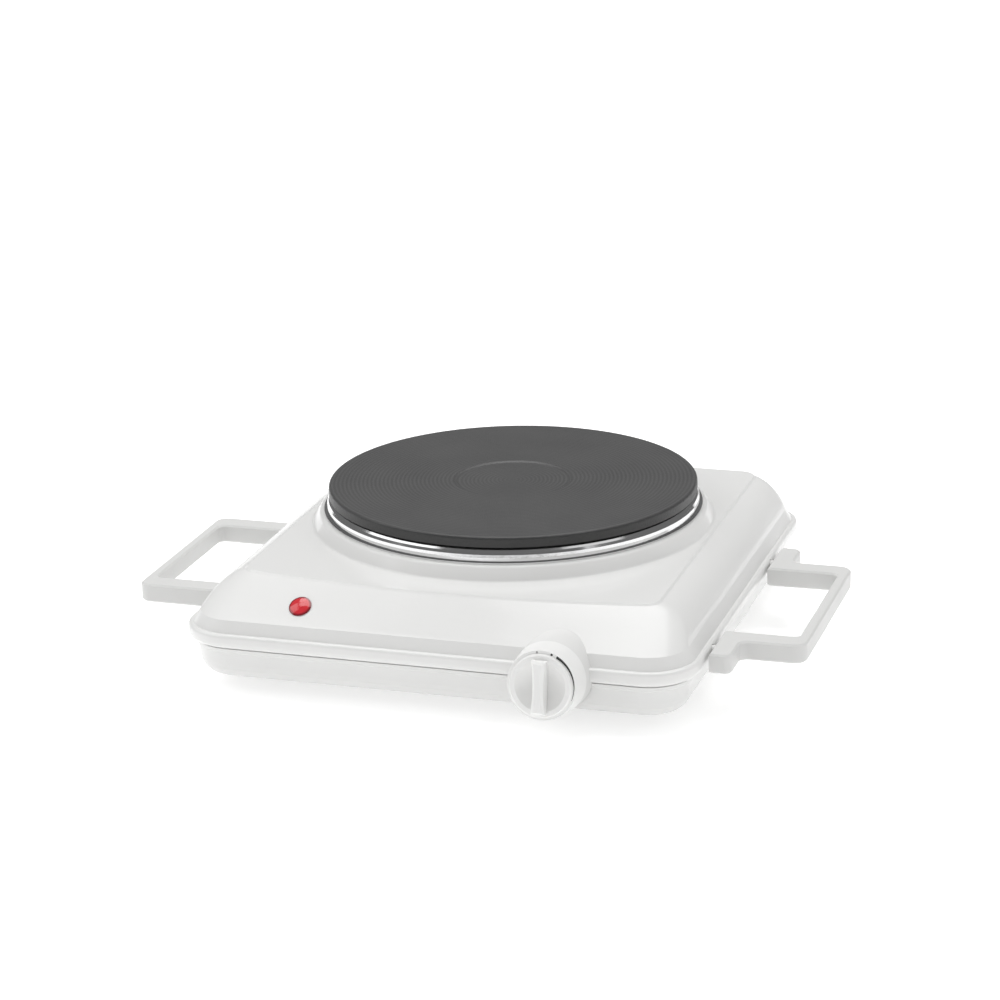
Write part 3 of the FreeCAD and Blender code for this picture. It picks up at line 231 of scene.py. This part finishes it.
# Inner wires: glass-silicone insulation, brown and black for the switched line, blue and green beside them.
# They run from the block to the thermostat, the plate's pins and the earth lug.
WIRE_COLOURS = {
    "wire_live": ((0.16, 0.065, 0.025, 1.0), (0.11, 0.045, 0.018, 1.0)),
    "wire_switched": ((0.022, 0.022, 0.022, 1.0), (0.035, 0.035, 0.035, 1.0)),
    "wire_neutral": ((0.02, 0.07, 0.30, 1.0), (0.015, 0.05, 0.22, 1.0)),
    "wire_earth": ((0.16, 0.34, 0.03, 1.0), (0.50, 0.46, 0.03, 1.0)),
}

for wire_name, (wire_colour, wire_shade) in WIRE_COLOURS.items():
    sleeve = surface(wire_name + "_sleeve", wire_colour, wire_shade, cloud_scale=140.0, roughness=0.55,
                     grain_scale=1800.0, grain=0.2)
    paint([wire_name], sleeve)

# Top cover: one enamelled pressing with the seat, the control strip and the rolled band at its foot.
# It stands on four posts and drops over the tray's rim.
paint(["top_cover"], enamel)

# Pilot lamp: clear red lens with a neon bulb behind it, snapped into the control strip.
# A push-on washer holds it from below. Painted shade darkens the lens towards its rim.
LENS_RED = (0.66, 0.030, 0.042, 1.0)
LENS_DEEP = (0.54, 0.018, 0.028, 1.0)
LENS_RIM_SHADE = (0.15, 0.008, 0.014, 1.0)
LENS_CENTRE = Vector((-0.067507, -0.100119, 0.044236))
LENS_PAINTED_GLOW = 0.08
RIM_SHADE_INNER = 0.0042
RIM_SHADE_OUTER = 0.0053
GLASS = (0.86, 0.80, 0.76, 1.0)
GLASS_WARM = (0.90, 0.70, 0.55, 1.0)
GLASS_CLEARNESS = 0.85

lens = surface("red_lens_moulding", LENS_RED, LENS_DEEP, cloud_scale=260.0, roughness=0.12,
               grain_scale=500.0, grain=0.1, coat=0.6)
lens_nodes = lens.node_tree.nodes
lens_links = lens.node_tree.links
lens_shader = lens_nodes["Principled BSDF"]
lens_place = lens_nodes.new("ShaderNodeTexCoord")
lens_reach = lens_nodes.new("ShaderNodeVectorMath")
lens_reach.operation = "DISTANCE"
lens_reach.inputs[1].default_value = LENS_CENTRE
lens_links.new(lens_place.outputs["Object"], lens_reach.inputs[0])
# Painted shade: the colour darkens towards the rim shade between these two distances from the lens's middle.
rim = lens_nodes.new("ShaderNodeMapRange")
rim.interpolation_type = "SMOOTHSTEP"
rim.inputs["From Min"].default_value = RIM_SHADE_INNER
rim.inputs["From Max"].default_value = RIM_SHADE_OUTER
lens_links.new(lens_reach.outputs["Value"], rim.inputs["Value"])
rim_shaded = lens_nodes.new("ShaderNodeMix")
rim_shaded.data_type = "RGBA"
rim_shaded.inputs[MIX_COLOUR_B].default_value = LENS_RIM_SHADE
lens_links.new(rim.outputs["Result"], rim_shaded.inputs["Factor"])
lens_links.new(lens_nodes["Mix"].outputs[MIX_COLOUR_OUT], rim_shaded.inputs[MIX_COLOUR_A])
lens_links.new(rim_shaded.outputs[MIX_COLOUR_OUT], lens_shader.inputs["Base Color"])
# Faint painted glow: the lens gives off a little red light of its own.
lens_shader.inputs["Emission Color"].default_value = LENS_RED
lens_shader.inputs["Emission Strength"].default_value = LENS_PAINTED_GLOW
paint(["pilot_lens"], lens)
glass = surface("bulb_glass_clear", GLASS, GLASS_WARM, cloud_scale=120.0, roughness=0.06,
                grain_scale=400.0, grain=0.03)
glass.node_tree.nodes["Principled BSDF"].inputs["Transmission Weight"].default_value = GLASS_CLEARNESS
paint(["lamp_bulb"], glass)

# Heating coil in its pressed mineral mass, closed in the underside of the plate.
# Two alloy pins lead down through the steatite bar.
COIL = (0.20, 0.18, 0.165, 1.0)
COIL_OXIDE = (0.13, 0.115, 0.105, 1.0)
MINERAL = (0.62, 0.57, 0.48, 1.0)
MINERAL_DARK = (0.50, 0.46, 0.39, 1.0)

alloy = surface("coil_alloy_oxide", COIL, COIL_OXIDE, cloud_scale=150.0, roughness=0.5,
                grain_scale=1100.0, grain=0.2, metallic=0.8)
paint(["heating_coil", "plate_pins"], alloy)
mineral = surface("mineral_powder", MINERAL, MINERAL_DARK, cloud_scale=110.0, roughness=0.9,
                  grain_scale=1500.0, grain=0.5)
paint(["insulation_mass"], mineral)

# Spill ring: bright rolled sheet between the seat and the rim of the plate.
# The stud's pull on the plate clamps it on the seat.
CHROME = (0.74, 0.74, 0.74, 1.0)
CHROME_HAZE = (0.66, 0.66, 0.67, 1.0)

chrome = surface("bright_ring", CHROME, CHROME_HAZE, cloud_scale=40.0, roughness=0.12,
                 grain_scale=240.0, grain=0.02, metallic=1.0)
paint(["spill_ring"], chrome)

# Cast-iron plate: turned top with fine rings round its middle, black heat-proof coating.
# Its side and underside get painted shade: the colour darkens as the surface faces less upward. The stud and
# the bracket below pull it down on the ring.
IRON = (0.074, 0.074, 0.075, 1.0)
IRON_WORN = (0.100, 0.100, 0.099, 1.0)
IRON_GROOVE = (0.70, 0.70, 0.70, 1.0)
IRON_SIDE_SHADE = (0.32, 0.32, 0.32, 1.0)
SIDE_FACING = 0.3
TOP_FACING = 0.9
RING_SCALE = 150.0
RING_WAVER = 0.6
RING_RELIEF = 0.10
RING_DEPTH = 0.0003

iron = surface("coated_cast_iron", IRON, IRON_WORN, cloud_scale=30.0, roughness=0.42,
               grain_scale=1400.0, grain=0.18)
iron_nodes = iron.node_tree.nodes
iron_links = iron.node_tree.links
iron_shader = iron_nodes["Principled BSDF"]
plate_low, plate_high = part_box("cast_iron_plate")
plate_centre = Vector(((plate_low[0] + plate_high[0]) / 2, (plate_low[1] + plate_high[1]) / 2, 0))
iron_place = iron_nodes.new("ShaderNodeTexCoord")
centred = iron_nodes.new("ShaderNodeVectorMath")
centred.operation = "SUBTRACT"
centred.inputs[1].default_value = plate_centre
iron_links.new(iron_place.outputs["Object"], centred.inputs[0])
turning = iron_nodes.new("ShaderNodeTexWave")
turning.wave_type = "RINGS"
turning.rings_direction = "Z"
turning.inputs["Scale"].default_value = RING_SCALE
turning.inputs["Distortion"].default_value = RING_WAVER
iron_links.new(centred.outputs["Vector"], turning.inputs["Vector"])
groove = iron_nodes.new("ShaderNodeMix")
groove.data_type = "RGBA"
groove.blend_type = "MULTIPLY"
groove.inputs[MIX_COLOUR_B].default_value = IRON_GROOVE
iron_links.new(turning.outputs["Fac"], groove.inputs["Factor"])
iron_links.new(iron_nodes["Mix"].outputs[MIX_COLOUR_OUT], groove.inputs[MIX_COLOUR_A])
# Painted shade on the plate's side and underside, driven by how far the surface faces upward.
facing = iron_nodes.new("ShaderNodeSeparateXYZ")
iron_links.new(iron_place.outputs["Normal"], facing.inputs["Vector"])
side_shade_mask = iron_nodes.new("ShaderNodeMapRange")
side_shade_mask.inputs["From Min"].default_value = SIDE_FACING
side_shade_mask.inputs["From Max"].default_value = TOP_FACING
side_shade_mask.inputs["To Min"].default_value = 1.0
side_shade_mask.inputs["To Max"].default_value = 0.0
iron_links.new(facing.outputs["Z"], side_shade_mask.inputs["Value"])
painted_side_shade = iron_nodes.new("ShaderNodeMix")
painted_side_shade.data_type = "RGBA"
painted_side_shade.blend_type = "MULTIPLY"
painted_side_shade.inputs[MIX_COLOUR_B].default_value = IRON_SIDE_SHADE
iron_links.new(side_shade_mask.outputs["Result"], painted_side_shade.inputs["Factor"])
iron_links.new(groove.outputs[MIX_COLOUR_OUT], painted_side_shade.inputs[MIX_COLOUR_A])
iron_links.new(painted_side_shade.outputs[MIX_COLOUR_OUT], iron_shader.inputs["Base Color"])
turned = iron_nodes.new("ShaderNodeBump")
turned.inputs["Strength"].default_value = RING_RELIEF
turned.inputs["Distance"].default_value = RING_DEPTH
iron_links.new(turning.outputs["Fac"], turned.inputs["Height"])
iron_links.new(iron_nodes["Bump"].outputs["Normal"], turned.inputs["Normal"])
iron_links.new(turned.outputs["Normal"], iron_shader.inputs["Normal"])
paint(["cast_iron_plate"], iron)

# Carrying handles: white moulded bars bent to a U, one on each side of the body.
# Their bosses pass through the cover's band, and screws from inside the tray hold them.
HANDLE_WHITE = (0.72, 0.72, 0.71, 1.0)
HANDLE_SHADE = (0.68, 0.68, 0.67, 1.0)

handle_moulding = surface("handle_moulding", HANDLE_WHITE, HANDLE_SHADE, cloud_scale=30.0, roughness=0.42,
                          grain_scale=1100.0, grain=0.05)
paint(["left_handle", "right_handle"], handle_moulding)

# Collar and knob: white mouldings round the thermostat's spindle, the knob with a waisted grip bar.
# The collar is screwed on from inside and stands still. The knob is pushed on the spindle and turns.
# The dial marks are printed on the ring round the dished cap.
COLLAR_WHITE = (0.78, 0.78, 0.77, 1.0)
COLLAR_SHADE = (0.74, 0.74, 0.73, 1.0)
KNOB_WHITE = (0.89, 0.89, 0.88, 1.0)
KNOB_SHADE = (0.85, 0.85, 0.84, 1.0)
KNOB_CENTRE = Vector((0.0636, -0.110906, 0.0266))
KNOB_TILT = radians(6.5)
MARK_BLACK = (0.018, 0.018, 0.018, 1.0)
MARK_WORN = (0.030, 0.030, 0.030, 1.0)
MARK_GREY = (0.36, 0.36, 0.36, 1.0)
MARK_PALE = (0.42, 0.42, 0.42, 1.0)
MARK_STAND = 0.02398
MARK_THICK = 0.00006
MARK_MIDDLE = 0.0158
MARK_WIDTH = 0.0011
DOT_RADIUS = 0.00055
DOT_SIDES = 24
OFF_ANGLE = -8.0
DOT_ANGLE = 18.0
ARC_START = 27.0
ARC_END = 112.0
ARC_STEPS = 60

collar_moulding = surface("collar_moulding", COLLAR_WHITE, COLLAR_SHADE, cloud_scale=30.0, roughness=0.40,
                          grain_scale=1100.0, grain=0.04)
paint(["knob_collar"], collar_moulding)
knob_moulding = surface("knob_moulding", KNOB_WHITE, KNOB_SHADE, cloud_scale=30.0, roughness=0.36,
                        grain_scale=1100.0, grain=0.04)
paint(["knob"], knob_moulding)
ink = surface("dial_ink", MARK_BLACK, MARK_WORN, cloud_scale=400.0, roughness=0.5,
              grain_scale=1500.0, grain=0.05)
pale_ink = surface("dial_grey_ink", MARK_GREY, MARK_PALE, cloud_scale=400.0, roughness=0.5,
                   grain_scale=1500.0, grain=0.05)
knob_frame = Matrix.Translation(KNOB_CENTRE) @ Matrix.Rotation(pi / 2 - KNOB_TILT, 4, "X")


def clock_point(angle, radius, height):
    """Point on the dial, the angle counted clockwise from the top."""
    turn = radians(angle)
    return knob_frame @ Vector((radius * sin(turn), radius * cos(turn), height))


def printed_mark(name, outline, material):
    """Thin flat mark on the dial from a closed outline of (angle, radius) points."""
    count = len(outline)
    points = [clock_point(angle, radius, MARK_STAND) for angle, radius in outline]
    points += [clock_point(angle, radius, MARK_STAND + MARK_THICK) for angle, radius in outline]
    faces = [tuple(range(count)), tuple(range(2 * count - 1, count - 1, -1))]
    faces += [(k, k + count, (k + 1) % count + count, (k + 1) % count) for k in range(count)]
    mesh = bpy.data.meshes.new(name)
    mesh.from_pydata(points, [], faces)
    mesh.materials.append(material)
    mark = bpy.data.objects.new(name, mesh)
    bpy.context.scene.collection.objects.link(mark)
    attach(mark, "knob_assembly")


def dot_outline(centre_angle):
    """Round dot in the middle of the printed ring."""
    outline = []
    for k in range(DOT_SIDES):
        turn = 2 * pi * k / DOT_SIDES
        swing = degrees(DOT_RADIUS * sin(turn) / MARK_MIDDLE)
        outline.append((centre_angle + swing, MARK_MIDDLE + DOT_RADIUS * cos(turn)))
    return outline


def wedge_outline():
    """Arc that thins clockwise from its full width to a point."""
    outer = []
    inner = []
    for k in range(ARC_STEPS + 1):
        share = k / ARC_STEPS
        angle = ARC_START + (ARC_END - ARC_START) * share
        half = MARK_WIDTH / 2 * (1 - share) + MARK_THICK
        outer.append((angle, MARK_MIDDLE + half))
        inner.append((angle, MARK_MIDDLE - half))
    return outer + inner[::-1]


printed_mark("dial_off_dot", dot_outline(OFF_ANGLE), pale_ink)
printed_mark("dial_dot", dot_outline(DOT_ANGLE), ink)
printed_mark("dial_wedge", wedge_outline(), ink)

# Studio floor: wide sheet of pale paper under the object, a little brighter far away from it.
# It looks whiter than the light that it throws back on the object, and keeps a soft shadow.
PURE_WHITE = (1.0, 1.0, 1.0, 1.0)
FLOOR_PALE = (0.90, 0.90, 0.90, 1.0)
FLOOR_SHADE = (0.88, 0.88, 0.88, 1.0)
FLOOR_HALF = 3.0
FLOOR_GLOW = 0.30
FLOOR_GLOW_FAR = 0.75
FLOOR_SEEN = 0.10
FLOOR_NEAR = 0.25
FLOOR_FAR = 1.6

floor_mesh = bpy.data.meshes.new("studio_floor")
floor_mesh.from_pydata([(-FLOOR_HALF, -FLOOR_HALF, 0), (FLOOR_HALF, -FLOOR_HALF, 0),
                        (FLOOR_HALF, FLOOR_HALF, 0), (-FLOOR_HALF, FLOOR_HALF, 0)], [], [(0, 1, 2, 3)])
floor_paper = surface("floor_paper", FLOOR_PALE, FLOOR_SHADE, cloud_scale=3.0, roughness=0.9,
                      grain_scale=900.0, grain=0.01)
floor_nodes = floor_paper.node_tree.nodes
floor_links = floor_paper.node_tree.links
floor_shader = floor_nodes["Principled BSDF"]
floor_shader.inputs["Emission Color"].default_value = PURE_WHITE
floor_place = floor_nodes.new("ShaderNodeTexCoord")
floor_reach = floor_nodes.new("ShaderNodeVectorMath")
floor_reach.operation = "LENGTH"
floor_links.new(floor_place.outputs["Object"], floor_reach.inputs[0])
floor_glow = floor_nodes.new("ShaderNodeMapRange")
floor_glow.inputs["From Min"].default_value = FLOOR_NEAR
floor_glow.inputs["From Max"].default_value = FLOOR_FAR
floor_glow.inputs["To Min"].default_value = FLOOR_GLOW
floor_glow.inputs["To Max"].default_value = FLOOR_GLOW_FAR
floor_links.new(floor_reach.outputs["Value"], floor_glow.inputs["Value"])
floor_ray = floor_nodes.new("ShaderNodeLightPath")
floor_seen = floor_nodes.new("ShaderNodeMath")
floor_seen.operation = "MAXIMUM"
floor_links.new(floor_ray.outputs["Is Camera Ray"], floor_seen.inputs[0])
floor_links.new(floor_ray.outputs["Is Glossy Ray"], floor_seen.inputs[1])
floor_white = floor_nodes.new("ShaderNodeMath")
floor_white.operation = "MULTIPLY_ADD"
floor_white.inputs[1].default_value = FLOOR_SEEN
floor_links.new(floor_seen.outputs["Value"], floor_white.inputs[0])
floor_links.new(floor_glow.outputs["Result"], floor_white.inputs[2])
floor_links.new(floor_white.outputs["Value"], floor_shader.inputs["Emission Strength"])
floor_mesh.materials.append(floor_paper)
floor = bpy.data.objects.new("studio_floor", floor_mesh)
bpy.context.scene.collection.objects.link(floor)

# Studio light: white surround, seen as plain white and dimmer in what the bright pieces mirror.
# Three broad square softboxes hang over the object, the strongest above and behind it.
SURROUND_LIGHT = 0.50
SURROUND_SEEN = 1.0
SURROUND_GLOSS = 0.18
SOFTBOXES = {
    "top_softbox": {"place": (-0.1, 0.6, 2.0), "target": (0, 0, 0), "size": 1.8, "power": 26.0},
    "left_softbox": {"place": (-1.6, -0.4, 1.6), "target": (0, 0, 0.04), "size": 1.4, "power": 9.1},
    "right_softbox": {"place": (1.5, -0.2, 1.7), "target": (0, 0, 0.05), "size": 1.4, "power": 4.4},
}

scene = bpy.context.scene
scene.view_settings.view_transform = "Standard"
world = bpy.data.worlds.new("white_surround")
scene.world = world
world.use_nodes = True
sky_nodes = world.node_tree.nodes
sky_links = world.node_tree.links
sky = sky_nodes["Background"]
sky.inputs["Color"].default_value = PURE_WHITE
sky_ray = sky_nodes.new("ShaderNodeLightPath")
sky_seen = sky_nodes.new("ShaderNodeMapRange")
sky_seen.inputs["To Min"].default_value = SURROUND_LIGHT
sky_seen.inputs["To Max"].default_value = SURROUND_SEEN
sky_links.new(sky_ray.outputs["Is Camera Ray"], sky_seen.inputs["Value"])
sky_mirrored = sky_nodes.new("ShaderNodeMapRange")
sky_mirrored.inputs["To Max"].default_value = SURROUND_GLOSS
sky_links.new(sky_ray.outputs["Is Glossy Ray"], sky_mirrored.inputs["Value"])
sky_links.new(sky_seen.outputs["Result"], sky_mirrored.inputs["To Min"])
sky_links.new(sky_mirrored.outputs["Result"], sky.inputs["Strength"])


def soft_lamp(name, place, target, size, power):
    """Square soft lamp turned towards a point."""
    light = bpy.data.lights.new(name, "AREA")
    light.shape = "SQUARE"
    light.size = size
    light.energy = power
    lamp = bpy.data.objects.new(name, light)
    lamp.location = place
    lamp.rotation_euler = (Vector(target) - Vector(place)).to_track_quat("-Z", "Y").to_euler()
    scene.collection.objects.link(lamp)


for lamp_name, lamp_values in SOFTBOXES.items():
    soft_lamp(lamp_name, **lamp_values)

# Camera: long lens in front of the object, a little to its right and above it.
# Its place and angles follow the photograph.
LENS_MM = 110.6
CAMERA_REACH = 20.0
CAMERA_PLACE = Vector((0.4513, -1.392806, 0.5506))
CAMERA_AZIMUTH = radians(17.86)
CAMERA_ELEVATION = radians(18.13)
CAMERA_ROLL = radians(-1.36)

camera_data = bpy.data.cameras.new("photo_camera")
camera_data.lens = LENS_MM
camera_data.clip_end = CAMERA_REACH
camera = bpy.data.objects.new("photo_camera", camera_data)
camera.matrix_world = (Matrix.Translation(CAMERA_PLACE) @ Matrix.Rotation(CAMERA_AZIMUTH, 4, "Z")
                       @ Matrix.Rotation(pi / 2 - CAMERA_ELEVATION, 4, "X")
                       @ Matrix.Rotation(CAMERA_ROLL, 4, "Z"))
scene.collection.objects.link(camera)
scene.camera = camera
